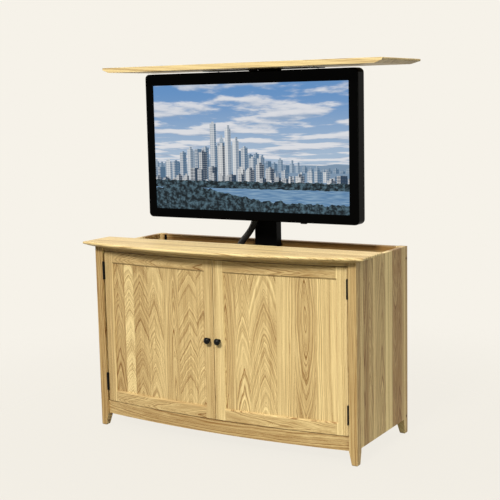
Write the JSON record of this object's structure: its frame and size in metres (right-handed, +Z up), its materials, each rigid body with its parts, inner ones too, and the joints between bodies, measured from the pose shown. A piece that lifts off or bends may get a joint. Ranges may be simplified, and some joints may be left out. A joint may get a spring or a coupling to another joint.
{
  "type": "tv lift cabinet",
  "caption": "Bow-front wooden cabinet with two doors and a motorised column that raises a flat television and the rear part of the top.",
  "frame": {"origin": "on the floor, below the middle of the whole with the lift raised and the doors shut", "axes": "+Z up, doors towards -Y, +X to the viewer's right"},
  "size_m": [1.331, 0.6499, 1.563],
  "materials": {
    "frame_wood": "satin clear lacquer on pale ash",
    "panel_wood": "satin clear lacquer on planked ash",
    "top_wood": "satin clear lacquer on pale ash",
    "inside_wood": "plain sealed boards",
    "black_steel": "black powder coat",
    "black_knob": "satin black",
    "bright_steel": "zinc plated",
    "dark_plastic": "fine matte texture",
    "tv_gloss": "piano black gloss",
    "tv_back": "fine matte texture",
    "tv_display": "lit picture behind clear glass",
    "braid": "woven black sleeve"
  },
  "bodies": {
    "cabinet": {"front_left_post": "frame_wood", "front_right_post": "frame_wood", "back_left_post": "frame_wood", "back_right_post": "frame_wood", "apron_rail": "frame_wood", "upper_front_rail": "frame_wood", "left_side_panel": "panel_wood", "right_side_panel": "panel_wood", "top_front_strip": "top_wood", "shelves": "inside_wood", "center_divider": "inside_wood", "bay_partition": "inside_wood", "strip_support_rail": "inside_wood", "floor_panel": "inside_wood", "floor_cleats": "inside_wood", "back_panel": "inside_wood", "back_rails": "inside_wood", "shelf_pins": "bright_steel", "back_panel_screws": "bright_steel", "hinge_frame_leaves": "black_steel", "hinge_pins": "black_steel", "lift_outer_column": "black_steel", "lift_back_strap": "black_steel", "lift_motor": "black_steel", "magnetic_catches": "dark_plastic", "lift_control_box": "dark_plastic", "floor_cable_gland": "dark_plastic", "cable_sleeve": "braid"},
    "lift_middle": {"lift_middle_column": "black_steel", "middle_column_glide": "dark_plastic"},
    "lift_carriage": {"lift_inner_column": "black_steel", "lift_drop_plate": "black_steel", "mount_crossbars": "black_steel", "mount_arms": "black_steel", "lid_bracket": "black_steel", "mount_bolts": "bright_steel", "lid_screws": "bright_steel", "inner_column_glide": "dark_plastic", "tv_cable_gland": "dark_plastic", "tv_sensor": "dark_plastic", "lid_board": "top_wood", "tv_bezel": "tv_gloss", "tv_screen": "tv_display", "tv_rear_cover": "tv_back"},
    "door_left": {"left_door_hinge_stile": "frame_wood", "left_door_meeting_stile": "frame_wood", "left_door_top_rail": "frame_wood", "left_door_bottom_rail": "frame_wood", "left_door_panel": "panel_wood", "left_door_knob": "black_knob", "left_door_hinge_leaves": "black_steel", "left_door_strike": "bright_steel"},
    "door_right": {"right_door_hinge_stile": "frame_wood", "right_door_meeting_stile": "frame_wood", "right_door_top_rail": "frame_wood", "right_door_bottom_rail": "frame_wood", "right_door_panel": "panel_wood", "right_door_knob": "black_knob", "right_door_hinge_leaves": "black_steel", "right_door_strike": "bright_steel"}
  },
  "joints": [
    {"name": "lift", "type": "slide", "parent": "cabinet", "child": "lift_carriage", "axis": [0, 0, 1], "range_m": [-0.742, 0], "deforming": ["cable_sleeve"]},
    {"name": "lift_middle", "type": "slide", "parent": "cabinet", "child": "lift_middle", "axis": [0, 0, 1], "range_m": [-0.371, 0]},
    {"name": "left_door_hinge", "type": "hinge", "parent": "cabinet", "child": "door_left", "pos_m": [-0.58375, -0.208, 0.445], "axis": [0, 0, 1], "range_deg": [-110, 0]},
    {"name": "right_door_hinge", "type": "hinge", "parent": "cabinet", "child": "door_right", "pos_m": [0.58375, -0.208, 0.445], "axis": [0, 0, 1], "range_deg": [0, 110]}
  ],
  "couplings": [
    {"joint": "lift_middle", "follows": "lift", "ratio": 0.5}
  ]
}
